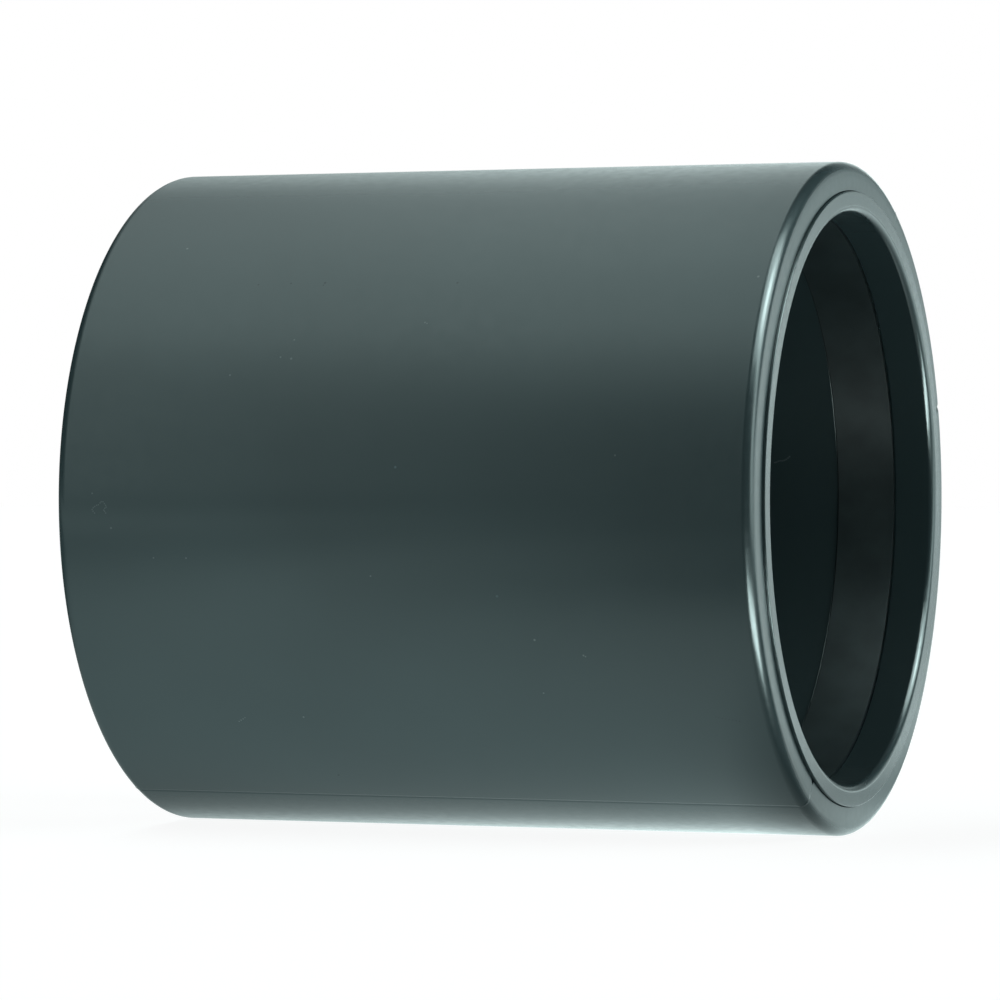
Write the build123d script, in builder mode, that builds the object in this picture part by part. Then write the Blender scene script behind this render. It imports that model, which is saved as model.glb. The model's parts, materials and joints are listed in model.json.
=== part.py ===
"""Straight push-fit coupling for a 63 mm pipe.

A short plastic sleeve with a pipe socket in each end and a stop rib between
them.  Each socket mouth has a pocket with a rubber lip seal, shut in by a
retaining ring that snaps into the wall.  The axis of the coupling is X, and
the origin is on the axis, midway between the two ends.
"""

import os

from build123d import *

# Pipe and sockets
pipe_radius = 31.5
pipe_clearance = 0.2
insertion_depth = 38.0
stop_width = 5.5
stop_height = 2.7
stop_draft = 0.5
stop_bevel = 0.4
lead_in = 0.3

# Wall of the sleeve
pocket_wall = 3.6
rim_round = 1.2

# Retaining rings
ring_length = 5.0
ring_proud = 0.35
ring_ledge = 0.45
ring_fit = 0.06
throat_step = 0.1
mouth_bevel = 0.8
ring_edge_bevel = 0.12
ring_back_chamfer = 0.3

# Snap bead on each ring
bead_height = 0.4
bead_width = 1.4
bead_ramp = 0.4
bead_inset = 0.8

# Lip seals
seal_width = 6.8
pocket_depth = 2.7
seal_fit = 0.05
rib_height = 0.25
rib_width = 1.2
rib_crest = 0.5
rib_inset = 0.8
heel_thickness = 1.35
nose_step = 0.7
lip_start = 3.0
lip_gap = 0.5
lip_root = 2.4
lip_thickness = 0.7
lip_bevel = 0.2

# Radii from the pipe outwards
socket_radius = pipe_radius + pipe_clearance
stop_radius = socket_radius - stop_height
pocket_radius = socket_radius + pocket_depth
body_radius = pocket_radius + pocket_wall
ring_radius = pocket_radius + ring_ledge
seat_radius = ring_radius + ring_fit
throat_radius = socket_radius + throat_step

# Places along the axis, from the middle of the sleeve to one end
stop_half = stop_width / 2
rim_face = stop_half + insertion_depth
ring_face = rim_face + ring_proud
ring_back = ring_face - ring_length
pocket_back = ring_back - seal_width
bead_back = ring_back + bead_inset
bead_front = bead_back + bead_width

# The section plane of each end: its x runs out along the axis, its y is the radius
ends = {
    "left": Plane(origin=(0, 0, 0), x_dir=(-1, 0, 0), z_dir=(0, 1, 0)),
    "right": Plane.XZ,
}


def bead_outline(radius, gap):
    """Points of the snap bead, or of its groove, on a wall of the given radius."""
    top = radius + bead_height
    return [
        (bead_back - gap, radius),
        (bead_back + bead_ramp - gap, top),
        (bead_front - bead_ramp + gap, top),
        (bead_front + gap, radius),
    ]


def make_coupling_body():
    """Sleeve: stop rib, two sockets, two seal pockets and two snap grooves."""
    with BuildPart() as coupling_body:
        with BuildSketch(Plane.XZ):
            with BuildLine():
                Polyline(
                    (0, stop_radius),
                    (stop_half - stop_draft, stop_radius),
                    (stop_half, socket_radius),
                    (pocket_back - lead_in, socket_radius),
                    (pocket_back, socket_radius + lead_in),
                    (pocket_back, pocket_radius),
                    (ring_back, pocket_radius),
                    (ring_back, seat_radius),
                    *bead_outline(seat_radius, ring_fit),
                    (rim_face, seat_radius),
                    (rim_face, body_radius),
                    (0, body_radius),
                    close=True,
                )
            make_face()
            mirror(about=Plane.YZ)
        revolve(axis=Axis.X)
        circles = coupling_body.edges().filter_by(GeomType.CIRCLE).group_by(SortBy.RADIUS)
        chamfer(circles[0], stop_bevel)
        fillet(circles[-1], rim_round)
    coupling_body.part.label = "coupling_body"
    return coupling_body.part


def make_retaining_ring(end):
    """Ring that shuts the seal in: eased mouth, flat front face and a snap bead."""
    with BuildPart() as retaining_ring:
        with BuildSketch(ends[end]):
            with BuildLine():
                Polyline(
                    (ring_back, throat_radius + ring_back_chamfer),
                    (ring_back, ring_radius),
                    *bead_outline(ring_radius, 0),
                    (ring_face, ring_radius),
                    (ring_face, throat_radius),
                    (ring_back + ring_back_chamfer, throat_radius),
                    close=True,
                )
            make_face()
            front = vertices().group_by(Axis.X)[-1].sort_by(Axis.Y)
            chamfer(front[0], mouth_bevel)
            chamfer(front[-1], ring_edge_bevel)
        revolve(axis=Axis.X)
    retaining_ring.part.label = "retaining_ring_" + end
    return retaining_ring.part


def rib_outline(foot, root_radius):
    """Points of a sealing rib whose foot starts at the given place on the heel."""
    crest = root_radius + rib_height
    flank = (rib_width - rib_crest) / 2
    return [
        (foot, root_radius),
        (foot + flank, crest),
        (foot + flank + rib_crest, crest),
        (foot + rib_width, root_radius),
    ]


def make_lip_seal(end):
    """Rubber seal: heel with two ribs in the pocket, lip laid back to the pipe's radius."""
    heel_outer = pocket_radius - seal_fit - rib_height
    heel_inner = heel_outer - heel_thickness
    nose_radius = pipe_radius + nose_step
    lip_end = pocket_back + lip_gap
    with BuildPart() as lip_seal:
        with BuildSketch(ends[end]):
            with BuildLine():
                Polyline(
                    (pocket_back, heel_inner),
                    (pocket_back, heel_outer),
                    *rib_outline(pocket_back + rib_inset, heel_outer),
                    *rib_outline(ring_back - rib_inset - rib_width, heel_outer),
                    (ring_back, heel_outer),
                    (ring_back, nose_radius),
                    (ring_back - lip_start, pipe_radius),
                    (lip_end, pipe_radius),
                    (lip_end, pipe_radius + lip_thickness),
                    (ring_back - lip_root, heel_inner),
                    close=True,
                )
            make_face()
            lip_tip = vertices().filter_by_position(Axis.X, lip_end, lip_end)
            chamfer(lip_tip, lip_bevel)
        revolve(axis=Axis.X)
    lip_seal.part.label = "lip_seal_" + end
    return lip_seal.part


os.makedirs("parts", exist_ok=True)

pieces = [make_coupling_body()]
for end in ends:
    pieces.append(make_retaining_ring(end))
    pieces.append(make_lip_seal(end))

for piece in pieces:
    export_step(piece, "parts/" + piece.label + ".step")
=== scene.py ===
import json
import math

import bmesh
import bpy
from mathutils import Matrix, Quaternion, Vector

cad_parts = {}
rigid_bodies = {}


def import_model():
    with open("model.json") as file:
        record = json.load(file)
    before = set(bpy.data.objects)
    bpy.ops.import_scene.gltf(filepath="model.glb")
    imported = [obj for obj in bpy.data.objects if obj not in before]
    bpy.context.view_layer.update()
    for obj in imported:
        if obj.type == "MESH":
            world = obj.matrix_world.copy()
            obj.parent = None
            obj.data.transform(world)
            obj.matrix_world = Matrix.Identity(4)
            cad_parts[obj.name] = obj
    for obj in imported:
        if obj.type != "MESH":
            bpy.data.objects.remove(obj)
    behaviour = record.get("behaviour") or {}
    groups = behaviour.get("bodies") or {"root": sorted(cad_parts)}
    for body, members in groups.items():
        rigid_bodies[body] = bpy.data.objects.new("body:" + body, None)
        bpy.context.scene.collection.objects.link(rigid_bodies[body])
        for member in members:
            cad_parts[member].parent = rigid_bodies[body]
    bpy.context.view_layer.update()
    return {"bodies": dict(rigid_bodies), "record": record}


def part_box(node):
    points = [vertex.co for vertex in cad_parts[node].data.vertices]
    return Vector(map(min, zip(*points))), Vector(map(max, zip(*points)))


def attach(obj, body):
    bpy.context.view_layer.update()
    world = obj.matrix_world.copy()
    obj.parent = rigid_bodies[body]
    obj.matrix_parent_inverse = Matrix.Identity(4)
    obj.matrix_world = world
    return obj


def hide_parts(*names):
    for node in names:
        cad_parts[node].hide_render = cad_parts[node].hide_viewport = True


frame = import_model()

MM = 0.001

# Sizes that the frame gives
_, sleeve_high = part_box("coupling_body")
ring_low, ring_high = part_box("retaining_ring_right")
seal_low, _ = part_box("lip_seal_right")
mounts = {mount["name"]: mount for mount in frame["record"]["mounts"]}
body_radius = sleeve_high.z
rim_face = sleeve_high.x
ring_face = ring_high.x
ring_back = ring_low.x
pocket_back = seal_low.x
socket_radius = mounts["socket_right"]["dims"]["r_mm"] * MM

# Sleeve
pocket_depth = 2.7 * MM
pocket_radius = socket_radius + pocket_depth
pocket_round = 0.2 * MM
stop_height = 2.7 * MM
stop_radius = socket_radius - stop_height
stop_half = 2.75 * MM
stop_draft = 0.5 * MM
stop_round = 0.5 * MM
stop_foot_round = 0.4 * MM
edge_round = 0.05 * MM
rim_round = 1.2 * MM

# Crown of the rim's face: it falls from the seam outwards, most of it past the crown's corner
rim_fall = 0.10 * MM
crown_fall = rim_fall * 0.3
crown_inset = 0.5 * MM
crown_round = 3.0 * MM

# Retaining rings
ring_ledge = 0.29 * MM
ring_radius = pocket_radius + ring_ledge
ring_fit = 0.06 * MM
seat_radius = ring_radius + ring_fit
ring_edge_round = 0.12 * MM
throat_step = 0.6 * MM
throat_radius = socket_radius + throat_step
throat_chamfer = 0.3 * MM
mouth_round = 0.80 * MM
bead_inset = 0.8 * MM
bead_width = 1.4 * MM
bead_back = ring_back + bead_inset
bead_front = bead_back + bead_width
bead_ramp = 0.4 * MM
bead_height = 0.4 * MM

# Lip seals
heel_gap = 0.3 * MM
heel_thickness = 1.35 * MM
heel_round = 0.1 * MM
heel_outer = pocket_radius - heel_gap
heel_inner = heel_outer - heel_thickness
rib_inset = 0.8 * MM
rib_half = 0.6 * MM
rib_height = 0.25 * MM
rib_round = 0.3 * MM
pipe_clearance = 0.2 * MM
pipe_radius = socket_radius - pipe_clearance
nose_step = 0.7 * MM
lip_gap = 0.15 * MM
lip_end = pocket_back + lip_gap
lip_thickness = 0.7 * MM
lip_root = 2.4 * MM
lip_round = 0.2 * MM

# Moulding marks: angles go round the axis, from 0 behind over 90 at the top to 180 in front
parting_angle = math.radians(-117.3)
flash_height = 0.045 * MM
flash_width = 0.16 * MM
flash_start = 0.2 * MM
nick_depth = 0.55 * MM
nick_width = 0.34 * MM
nick_length = 0.4 * MM
notch_angle = math.radians(17.3)
notch_depth = 0.10 * MM
notch_width = 0.30 * MM
seat_margin = 0.1 * MM

# Fineness of the meshes
round_steps = 8
round_guard = 0.03 * MM
turn_steps = 288
mark_steps = 9
mark_steps_per_width = 3
sharp_angle = math.radians(35)


def rounded(corners):
    """Outline points from (x, radius, rounding) corners, each rounding drawn as an arc.

    A guard point just past each end of an arc keeps the flat beside it shaded flat.
    """
    points = []
    count = len(corners)
    for i, (x, r, rounding) in enumerate(corners):
        here = Vector((x, r))
        if rounding == 0:
            points.append(here)
            continue
        before = Vector(corners[i - 1][:2]) - here
        after = Vector(corners[(i + 1) % count][:2]) - here
        before.normalize()
        after.normalize()
        half = before.angle(after) / 2
        reach = rounding / math.tan(half)
        centre = here + (before + after).normalized() * rounding / math.sin(half)
        start = here + before * reach - centre
        sweep = (here + after * reach - centre).angle_signed(start)
        points.append(here + before * (reach + round_guard))
        for step in range(round_steps + 1):
            turn = Matrix.Rotation(sweep * step / round_steps, 2)
            points.append(centre + turn @ start)
        points.append(here + after * (reach + round_guard))
    return points


def outward(points):
    """Unit normals of a closed outline, pointing out of the solid."""
    area = sum(a.cross(b) for a, b in zip(points, points[1:] + points[:1]))
    side = 1 if area > 0 else -1
    normals = []
    for i, point in enumerate(points):
        along = (points[(i + 1) % len(points)] - points[i - 1]).normalized()
        normals.append(Vector((along.y, -along.x)) * side)
    return normals


def turn_angles(marks):
    """Angles of the mesh's rows: even steps, and finer ones near the moulding marks."""
    angles = {math.tau * i / turn_steps for i in range(turn_steps)}
    for mark in marks:
        for step in range(-mark_steps, mark_steps + 1):
            apart = step * flash_width / body_radius / mark_steps_per_width
            angles.add((mark + apart) % math.tau)
    return sorted(angles)


def turned(name, corners, material, relief=None, marks=()):
    """Ring mesh: the outline turned about X, its points moved by the relief."""
    points = rounded(corners)
    normals = outward(points)
    mesh = bpy.data.meshes.new(name)
    bm = bmesh.new()
    rows = []
    for angle in turn_angles(marks):
        row = []
        for point, normal in zip(points, normals):
            x, r = point + relief(point, normal, angle) if relief else point
            row.append(bm.verts.new((x, r * math.cos(angle), r * math.sin(angle))))
        rows.append(row)
    for row, following in zip(rows, rows[1:] + rows[:1]):
        for i in range(len(points)):
            bm.faces.new((row[i - 1], row[i], following[i], following[i - 1]))
    bmesh.ops.recalc_face_normals(bm, faces=bm.faces)
    bm.to_mesh(mesh)
    bm.free()
    mesh.shade_smooth()
    mesh.set_sharp_from_angle(angle=sharp_angle)
    mesh.materials.append(material)
    piece = bpy.data.objects.new(name, mesh)
    bpy.context.collection.objects.link(piece)
    return piece


def bead(radius, gap):
    """Corners of the snap bead, or of its groove, on a wall of the given radius."""
    return [
        (bead_back - gap, radius, 0),
        (bead_back + bead_ramp - gap, radius + bead_height, 0),
        (bead_front - bead_ramp + gap, radius + bead_height, 0),
        (bead_front + gap, radius, 0),
    ]


def rib(foot):
    """Corners of a sealing rib whose foot starts at the given place on the heel."""
    return [
        (foot, heel_outer, 0),
        (foot + rib_half, heel_outer + rib_height, rib_round),
        (foot + 2 * rib_half, heel_outer, 0),
    ]


def swell(angle, mark, width):
    """Bell curve across a mark on the sleeve: 1 on the mark, fading out round the sleeve."""
    apart = ((angle - mark + math.pi) % math.tau - math.pi) * body_radius
    return math.exp(-((apart / width) ** 2))


parting_marks = (parting_angle % math.tau, (parting_angle + math.pi) % math.tau)


def sleeve_relief(point, normal, angle):
    """The mould's parting line, the nick where it meets the seam, and the rim's notch.

    The line is fine as a scratch: a groove on the body and the faces, where the normal is
    square to an axis, and a ridge in the middle of the rim's round, where it leans between.
    """
    shift = Vector((0, 0))
    by_seat = point.y > seat_radius - seat_margin
    for mark in parting_marks:
        if point.y > seat_radius + flash_start:
            side = 4 * abs(normal.x) * normal.y - 1
            shift += normal * side * flash_height * swell(angle, mark, flash_width)
        elif by_seat and abs(point.x) > rim_face - nick_length:
            shift.y += nick_depth * swell(angle, mark, nick_width)
    if by_seat and point.x > rim_face - rim_round:
        shift -= normal * notch_depth * swell(angle, notch_angle, notch_width)
    return shift


def sleeve_corners():
    right = [
        (stop_half - stop_draft, stop_radius, stop_round),
        (stop_half, socket_radius, stop_foot_round),
        (pocket_back, socket_radius, edge_round),
        (pocket_back, pocket_radius, pocket_round),
        (ring_back, pocket_radius, 0),
        (ring_back, seat_radius, 0),
        *bead(seat_radius, ring_fit),
        (rim_face, seat_radius, edge_round),
        (rim_face - crown_fall, body_radius - rim_round - crown_inset, crown_round),
        (rim_face - rim_fall, body_radius, rim_round),
    ]
    left = [(-x, r, rounding) for x, r, rounding in reversed(right)]
    return right + left


def ring_corners(side):
    right = [
        (ring_back, throat_radius + throat_chamfer, 0),
        (ring_back, ring_radius, 0),
        *bead(ring_radius, 0),
        (ring_face, ring_radius, ring_edge_round),
        (ring_face, throat_radius, mouth_round),
        (ring_back + throat_chamfer, throat_radius, 0),
    ]
    return [(side * x, r, rounding) for x, r, rounding in right]


def seal_corners(side):
    right = [
        (pocket_back, heel_inner, heel_round),
        (pocket_back, heel_outer, heel_round),
        *rib(pocket_back + rib_inset),
        *rib(ring_back - rib_inset - 2 * rib_half),
        (ring_back, heel_outer, heel_round),
        (ring_back, pipe_radius + nose_step, 0),
        (lip_end, pipe_radius, 0),
        (lip_end, pipe_radius + lip_thickness, lip_round),
        (ring_back - lip_root, heel_inner, lip_round),
    ]
    return [(side * x, r, rounding) for x, r, rounding in right]


class Nodes:
    """A material's or a world's node tree, with short calls to add and join nodes."""

    def __init__(self, owner):
        owner.use_nodes = True
        self.tree = owner.node_tree
        self.tree.nodes.clear()

    def add(self, kind, inputs=None, **settings):
        node = self.tree.nodes.new(kind)
        for key, value in settings.items():
            setattr(node, key, value)
        for key, value in (inputs or {}).items():
            if isinstance(value, bpy.types.NodeSocket):
                self.tree.links.new(value, node.inputs[key])
            else:
                node.inputs[key].default_value = value
        return node

    def calc(self, operation, a, b=None):
        inputs = {0: a} if b is None else {0: a, 1: b}
        return self.add("ShaderNodeMath", inputs, operation=operation).outputs[0]

    def noise(self, place, scale, detail):
        inputs = {"Vector": place, "Scale": scale, "Detail": detail}
        return self.add("ShaderNodeTexNoise", inputs).outputs["Fac"]

    def between(self, value, low, high, to_low=0.0, to_high=1.0):
        inputs = {"Value": value, 1: low, 2: high, 3: to_low, 4: to_high}
        return self.add("ShaderNodeMapRange", inputs, clamp=True).outputs[0]

    def mix(self, factor, a, b):
        inputs = {0: factor, 2: a, 3: b}
        return self.add("ShaderNodeMix", inputs, data_type="FLOAT").outputs[0]

    def blend(self, factor, a, b):
        inputs = {0: factor, 6: a, 7: b}
        return self.add("ShaderNodeMix", inputs, data_type="RGBA").outputs[2]

    def axes(self, place):
        return self.add("ShaderNodeSeparateXYZ", {0: place}).outputs

    def object_place(self):
        return self.add("ShaderNodeTexCoord").outputs["Object"]


# Colours, linear
body_grey = (0.049, 0.074, 0.079)
seal_grey = (0.032, 0.045, 0.047)
dust_grey = (0.16, 0.19, 0.19, 1)
dark_spot_grey = (0.01, 0.014, 0.015, 1)
gloss_tint = (0.92, 1.0, 0.99, 1.0)


def shade(colour, share):
    """The colour made darker or lighter by a share, and no brighter than white."""
    return tuple(min(1, c * share) for c in colour) + (1,)


# Small marks on the sleeve, as (x mm, angle round the axis in degrees, radius mm, size mm)
outside = 38.0
bore = 31.7
hair = [(x, angle, outside, 0.08) for x, angle in (
    (-35.84, -177.3), (-36.03, -177.6), (-36.14, -177.9), (-36.0, -178.2),
    (-35.81, -178.4), (-35.58, -178.6), (-35.36, -178.7), (-35.16, -179.0),
    (-35.02, -179.2), (-34.80, -179.2), (-34.63, -178.9), (-34.48, -178.6),
    (-34.42, -178.3), (-34.58, -178.1), (-34.71, -177.8), (-34.61, -177.6),
    (-34.48, -177.3))]
lint = [(x, angle, bore, 0.11) for x, angle in (
    (21.48, 7.9), (21.7, 8.0), (21.95, 8.2), (22.21, 8.3), (22.46, 8.3),
    (22.71, 8.4), (22.94, 8.6), (23.17, 8.9), (23.37, 9.2))]
dust = [(x, angle, outside, size) for x, angle, size in (
    (-36.13, 179.4, 0.10), (-22.39, -138.7, 0.09), (-22.1, -139.0, 0.10),
    (-21.8, -139.3, 0.09), (-21.52, -139.6, 0.07), (-14.34, -140.0, 0.12),
    (15.1, -156.2, 0.14), (20.44, -153.5, 0.12), (20.65, -153.3, 0.10),
    (14.97, -146.1, 0.10), (25.28, 173.1, 0.11), (-13.52, 156.3, 0.15),
    (-14.82, 156.0, 0.11), (-13.58, 152.8, 0.12), (-30.25, 132.3, 0.13),
    (1.52, 149.7, 0.12), (1.78, 149.9, 0.10), (-20.54, 159.2, 0.11),
    (-28.9, -169.8, 0.10), (-24.96, -169.8, 0.11), (-3.12, -167.0, 0.10),
    (-33.88, -174.8, 0.12), (38.67, 141.2, 0.15))]
scratch = [(34.06 + 0.37 * i, -141.8 + 0.12 * i, 0.05 + 0.004 * i) for i in range(8)]
# Near-black spots and the short scratch, drawn in the colour alone, with no hollow in the shape
dark_spots = [(x, angle, outside, size) for x, angle, size in (
    (-11.67, 141.2, 0.16), (-11.77, 141.7, 0.10), (-15.77, 141.2, 0.12),
    (-19.68, 141.4, 0.11), (4.14, 141.6, 0.15), (-13.22, -124.7, 0.13),
    *scratch)]


def spots(n, place, marks):
    """Mask of small round marks, full within half a mark's size and gone a little outside it."""
    full_within = 0.5
    gone_outside = 1.2
    mask = 0.0
    for x, angle, radius, size in marks:
        turn = math.radians(angle)
        centre = (x * MM, radius * MM * math.cos(turn), radius * MM * math.sin(turn))
        node = n.add("ShaderNodeVectorMath", {0: place, 1: centre}, operation="DISTANCE")
        apart = node.outputs["Value"]
        spot = n.between(apart, low=size * MM * gone_outside, high=size * MM * full_within)
        mask = n.calc("MAXIMUM", mask, spot)
    return mask


def finish_surface(n, tone, rough, height, strength, settings):
    """Ends a material's tree: bump of the given height and strength, main shader, output."""
    bump_depth = 0.05 * MM
    bump = n.add("ShaderNodeBump", {
        "Height": height, "Strength": strength, "Distance": bump_depth})
    shader = n.add("ShaderNodeBsdfPrincipled", {
        "Base Color": tone, "Roughness": rough, "Normal": bump.outputs[0],
        "IOR": 1.5, **settings})
    n.add("ShaderNodeOutputMaterial", {"Surface": shader.outputs[0]})


def plastic(name, colour, roughness, marks=False):
    """Moulded grey plastic: faint mottling, orange peel, dust specks and small marks.

    The end faces are a little less glossy than the rest.
    """
    face_fade = 0.05 * MM
    face_extra = 0.06
    material = bpy.data.materials.new(name)
    n = Nodes(material)
    place = n.object_place()
    broad = n.noise(place, scale=28.0, detail=3.0)
    fine = n.noise(place, scale=900.0, detail=2.0)
    grain = n.noise(place, scale=4200.0, detail=2.0)
    mottle = n.between(broad, low=0.35, high=0.65)
    tone = n.blend(mottle, shade(colour, 0.93), shade(colour, 1.07))
    cells = n.add("ShaderNodeTexVoronoi", {"Vector": place, "Scale": 260.0})
    specks = n.between(cells.outputs["Distance"], low=0.05, high=0.02)
    patches = n.between(n.noise(place, scale=90.0, detail=1.0), low=0.66, high=0.70)
    tone = n.blend(n.calc("MULTIPLY", specks, patches), tone, shade(colour, 2.2))
    if marks:
        pale = n.calc("MULTIPLY", spots(n, place, hair + dust + lint), 0.8)
        tone = n.blend(pale, tone, dust_grey)
        # Near-black spots and the scratch, in the colour alone
        dark_share = n.calc("MULTIPLY", spots(n, place, dark_spots), 0.6)
        tone = n.blend(dark_share, tone, dark_spot_grey)
    rough = n.between(fine, 0.3, 0.7, to_low=roughness - 0.02, to_high=roughness + 0.03)
    out = n.calc("ABSOLUTE", n.axes(place)["X"])
    face = n.between(out, low=rim_face - rim_fall - face_fade, high=rim_face - rim_fall)
    rough = n.calc("ADD", rough, n.calc("MULTIPLY", face, face_extra))
    height = n.calc("ADD", n.calc("MULTIPLY", fine, 0.6), n.calc("MULTIPLY", grain, 0.4))
    finish_surface(n, tone, rough, height, 0.05, {"Specular Tint": gloss_tint})
    return material


def rubber(name, colour):
    """Dark seal rubber: an even satin, with a faint bloom and fine grain."""
    material = bpy.data.materials.new(name)
    n = Nodes(material)
    place = n.object_place()
    bloom = n.noise(place, scale=220.0, detail=4.0)
    grain = n.noise(place, scale=3000.0, detail=3.0)
    mottle = n.between(bloom, low=0.35, high=0.7)
    tone = n.blend(mottle, shade(colour, 0.85), shade(colour, 1.15))
    rough = n.between(bloom, 0.3, 0.7, to_low=0.30, to_high=0.34)
    finish_surface(n, tone, rough, grain, 0.1, {"Specular IOR Level": 0.3})
    return material


body_plastic = plastic("body_plastic", body_grey, roughness=0.24, marks=True)
ring_plastic = plastic("ring_plastic", body_grey, roughness=0.18)
seal_rubber = rubber("seal_rubber", seal_grey)


def dress():
    """Builds every piece round its CAD node."""
    marks = (*parting_marks, notch_angle)
    sleeve = turned("sleeve", sleeve_corners(), body_plastic, sleeve_relief, marks)
    rows = [(sleeve, "coupling_body", "body_plastic")]
    for side, end in ((-1, "left"), (1, "right")):
        ring = turned("mouth_ring_" + end, ring_corners(side), ring_plastic)
        seal = turned("seal_" + end, seal_corners(side), seal_rubber)
        rows.append((ring, "retaining_ring_" + end, "ring_plastic"))
        rows.append((seal, "lip_seal_" + end, "seal_rubber"))
    for piece, node, slot in rows:
        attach(piece, "root" if "root" in frame["bodies"] else next(iter(frame["bodies"])))
        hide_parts(node)


# Light on the object from above the floor, in zones along the axis.  Each row has a zone's
# place, which is the x of the light's direction, then the turns round the axis at which it
# has levels, and the levels.  A turn is 0 on the camera's side, 90 at the top, 180 behind.
# The levels here and off the floor were fitted to the tones that the photograph shows.
wide_turns = (0, 30, 60, 90, 120, 150, 170, 180)
close_turns = (0, 15, 30, 45, 60, 75, 90, 105, 120, 135, 150, 162, 172, 180)
horizon_turns = (0, 30, 60, 90, 120, 150, 170, 174, 176, 177.5, 180)
sky_zones = (
    (-0.70, wide_turns,
     (0.00, 0.00, 0.00, 0.00, 0.00, 0.00, 0.00, 0.00)),
    (-0.44, close_turns,
     (1.53, 1.57, 1.80, 1.50, 1.85, 1.86, 1.53, 1.19, 0.80, 0.44, 0.59, 0.54, 0.54, 0.59)),
    (-0.32, close_turns,
     (0.00, 0.00, 0.26, 1.53, 2.63, 2.55, 2.61, 2.28, 1.69, 1.36, 1.35, 1.25, 1.35, 1.49)),
    (-0.18, close_turns,
     (0.00, 0.00, 0.00, 0.00, 0.00, 0.00, 0.00, 0.00, 0.00, 0.00, 0.00, 1.40, 3.00, 3.00)),
    (0.05, wide_turns,
     (0.00, 0.00, 0.00, 0.00, 0.00, 0.00, 0.89, 0.00)),
    (0.28, horizon_turns,
     (0.00, 0.00, 0.00, 0.00, 0.00, 0.00, 0.00, 0.00, 0.12, 2.57, 1.60)),
    (0.60, wide_turns,
     (0.00, 0.00, 0.00, 1.39, 0.00, 0.00, 3.00, 3.00)),
    (0.90, wide_turns,
     (0.00, 0.00, 2.54, 3.00, 0.39, 0.00, 2.67, 3.00)),
)
sky_reach = (0, 180)

# Light off the floor, in zones along x (metres).  Each row has a zone's x, then the places
# behind the axis (metres) at which it has levels, and the levels.
floor_places = (
    -0.6, -0.25, -0.14, -0.09, -0.06, -0.04, -0.025, -0.012, 0, 0.03, 0.08, 0.16, 0.3, 0.6)
floor_zones = (
    (-0.15, floor_places,
     (0.21, 1.47, 0.00, 0.00, 0.00, 0.00, 0.00, 0.00, 0.00, 0.00, 0.00, 0.10, 0.29, 0.41)),
    (-0.04, floor_places,
     (0.00, 0.00, 0.86, 1.04, 1.01, 0.84, 0.61, 0.31, 1.10, 0.50, 0.92, 1.27, 1.57, 1.77)),
    (0.03, floor_places,
     (0.00, 0.00, 0.00, 0.08, 0.82, 0.97, 0.79, 0.68, 2.52, 2.83, 3.00, 2.72, 3.00, 3.00)),
    (0.045, floor_places,
     (0.00, 0.00, 0.00, 0.00, 0.00, 0.00, 0.00, 0.06, 0.84, 1.47, 0.00, 0.80, 3.00, 2.79)),
    (0.08, floor_places,
     (0.00, 0.00, 0.00, 0.00, 0.21, 2.90, 0.76, 0.00, 0.00, 0.22, 0.76, 1.28, 1.59, 0.00)),
    (0.25, floor_places,
     (0.00, 0.00, 0.00, 0.00, 0.00, 0.01, 0.00, 0.00, 0.00, 0.00, 3.00, 3.00, 3.00, 1.09)),
)
floor_reach = (-0.6, 0.6)

full_level = 4.0
light_tint = (0.84, 1.0, 0.99, 1.0)
camera_turn = math.radians(20.64)


def ramp(n, stops, value, low, high):
    """Light level by a value between low and high, from (value, level) stops.

    A ramp's colours end at 1, so it holds shares of the full level.
    """
    node = n.add("ShaderNodeValToRGB", {"Fac": n.between(value, low, high)})
    elements = node.color_ramp.elements
    for i, (place, level) in enumerate(stops):
        position = (place - low) / (high - low)
        element = elements[i] if i < 2 else elements.new(position)
        element.position = position
        element.color = (level / full_level,) * 3 + (1,)
    return n.calc("MULTIPLY", node.outputs[0], full_level)


def across(n, zones, place, value, reach):
    """Level from each zone's ramp, faded into the next zone along the given place."""
    edges = [edge for edge, _, _ in zones]
    ramps = [ramp(n, zip(at, levels), value, *reach) for _, at, levels in zones]
    level = ramps[0]
    for start, end, following in zip(edges, edges[1:], ramps[1:]):
        level = n.mix(n.between(place, start, end), level, following)
    return level


def floor():
    """Plain pale floor: white to the camera but for the object's shadow.

    To every other ray it is a sheet that gives the floor's light and lets other light through.
    """
    half = 20.0
    diffuse_grey = (0.25, 0.25, 0.25, 1)
    glow_strength = 0.9
    corners = [(-half, -half), (half, -half), (half, half), (-half, half)]
    mesh = bpy.data.meshes.new("floor")
    mesh.from_pydata([(x, y, -body_radius) for x, y in corners], [], [(0, 1, 2, 3)])
    piece = bpy.data.objects.new("floor", mesh)
    bpy.context.collection.objects.link(piece)
    material = bpy.data.materials.new("floor_pale")
    mesh.materials.append(material)
    n = Nodes(material)
    path = n.add("ShaderNodeLightPath")
    diffuse = n.add("ShaderNodeBsdfDiffuse", {"Color": diffuse_grey})
    glow = n.add("ShaderNodeEmission", {"Color": (1, 1, 1, 1), "Strength": glow_strength})
    seen = n.add("ShaderNodeAddShader", {0: diffuse.outputs[0], 1: glow.outputs[0]})
    place = n.axes(n.object_place())
    level = across(n, floor_zones, place["X"], place["Y"], floor_reach)
    light = n.add("ShaderNodeEmission", {"Color": light_tint, "Strength": level})
    clear = n.add("ShaderNodeBsdfTransparent")
    unseen = n.add("ShaderNodeAddShader", {0: light.outputs[0], 1: clear.outputs[0]})
    mixed = n.add("ShaderNodeMixShader", {
        0: path.outputs["Is Camera Ray"], 1: unseen.outputs[0], 2: seen.outputs[0]})
    n.add("ShaderNodeOutputMaterial", {"Surface": mixed.outputs[0]})


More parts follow.
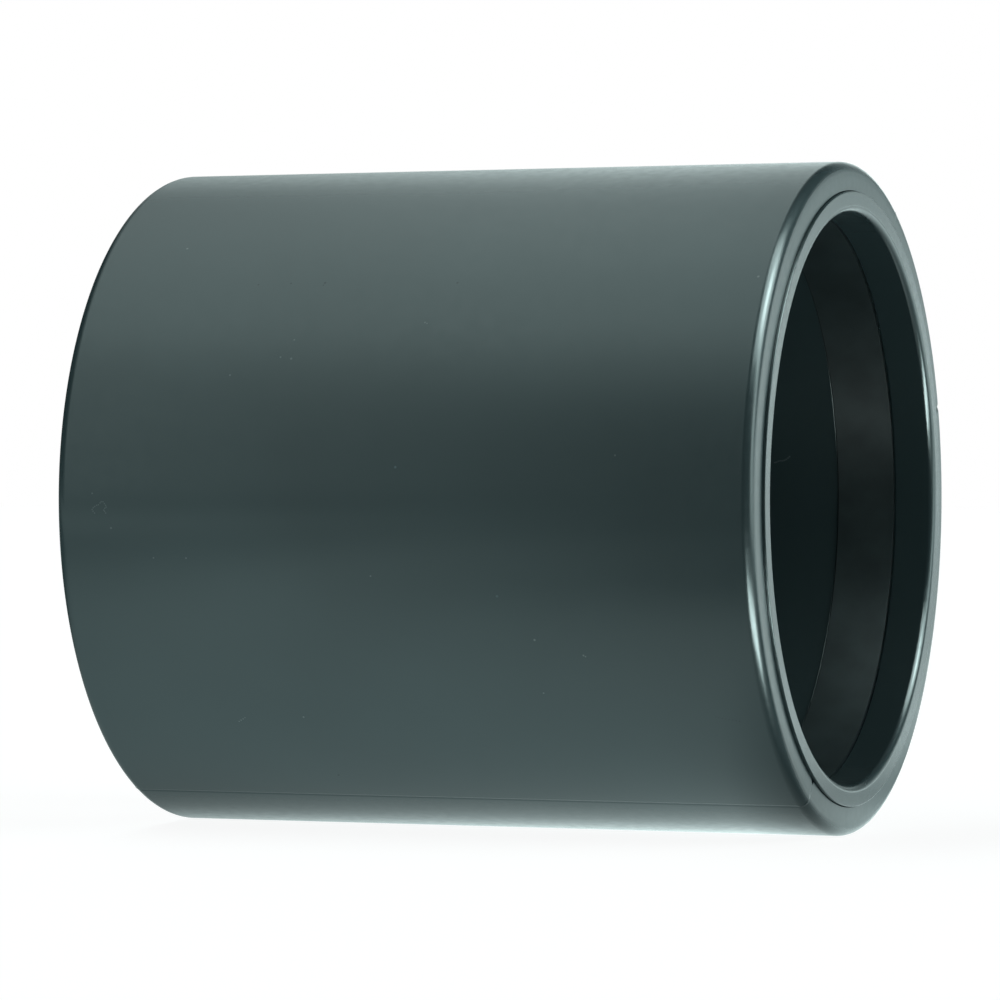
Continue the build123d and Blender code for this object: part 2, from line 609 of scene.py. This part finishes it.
def studio():
    """Soft world: white to the camera, and to the object the zones of light above the floor."""
    world = bpy.data.worlds.new("studio")
    bpy.context.scene.world = world
    n = Nodes(world)
    path = n.add("ShaderNodeLightPath")
    way = n.axes(n.add("ShaderNodeTexCoord").outputs["Generated"])
    turn = n.calc("ARCTAN2", way["Z"], n.calc("MULTIPLY", way["Y"], -1.0))
    turn = n.calc("DEGREES", turn)
    level = across(n, sky_zones, way["X"], turn, sky_reach)
    level = n.calc("MULTIPLY", level, n.calc("GREATER_THAN", way["Z"], 0.0))
    soft = n.add("ShaderNodeBackground", {"Color": light_tint, "Strength": level})
    white = n.add("ShaderNodeBackground", {"Color": (1, 1, 1, 1), "Strength": 1.0})
    mixed = n.add("ShaderNodeMixShader", {
        0: path.outputs["Is Camera Ray"], 1: soft.outputs[0], 2: white.outputs[0]})
    n.add("ShaderNodeOutputWorld", {"Surface": mixed.outputs[0]})


# Lamps that show only in the object's gloss, as (place, aim, size, radiance, spin): two
# softboxes above on the right, square to the camera, one below that lights the rim's round
# from under the floor's sheet, and a card facing the right mouth
gloss_lamps = {
    "softbox_above": ((0.82, -0.14, 0.80), (0.82, -0.14, 0.0), (1.55, 0.86), 7.8, camera_turn),
    "softbox_core": ((0.66, -0.17, 0.79), (0.66, -0.17, 0.0), (0.45, 0.34), 18.0, camera_turn),
    "softbox_below": ((0.615, -0.585, -0.612), (0.04, -0.03, -0.01), (0.95, 0.33), 22.0, 0.0),
    "card_right": ((0.80, -0.08, 0.10), (0.0, -0.08, 0.10), (0.44, 0.40), 2.8, 0.0),
}


def lamps():
    """The soft rectangular lamps of the table, hidden from the camera and the diffuse light."""
    for name, (place, aim, size, radiance, spin) in gloss_lamps.items():
        light = bpy.data.lights.new(name, "AREA")
        light.shape = "RECTANGLE"
        light.size, light.size_y = size
        light.color = light_tint[:3]
        light.energy = radiance * math.pi * size[0] * size[1]
        holder = bpy.data.objects.new(name, light)
        bpy.context.collection.objects.link(holder)
        holder.location = place
        holder.rotation_mode = "QUATERNION"
        aimed = (Vector(aim) - Vector(place)).to_track_quat("-Z", "Y")
        holder.rotation_quaternion = Quaternion((0, 0, 1), spin) @ aimed
        holder.visible_camera = False
        holder.visible_diffuse = False


def camera():
    """The camera, from the turn, roll, distance and offset fitted to the photograph."""
    turn = camera_turn
    roll = -0.0025
    distance = 558.1 * MM
    offset_right = 1.893 * MM
    offset_up = 0.223 * MM
    focal_pixels = 4818.3
    image_pixels = 1000
    sensor = 36.0
    forward = Vector((-math.sin(turn), math.cos(turn), 0))
    level = Vector((math.cos(turn), math.sin(turn), 0))
    right = level * math.cos(roll) - Vector((0, 0, 1)) * math.sin(roll)
    up = right.cross(forward)
    data = bpy.data.cameras.new("camera")
    data.sensor_width = sensor
    data.lens = focal_pixels / image_pixels * sensor
    data.clip_start = 0.01
    data.clip_end = 100
    holder = bpy.data.objects.new("camera", data)
    bpy.context.collection.objects.link(holder)
    axes = Matrix((right, up, -forward)).transposed().to_4x4()
    place = -(forward * distance + right * offset_right + up * offset_up)
    holder.matrix_world = Matrix.Translation(place) @ axes
    bpy.context.scene.camera = holder


dress()
floor()
studio()
lamps()
camera()
bpy.context.scene.view_settings.view_transform = "Standard"
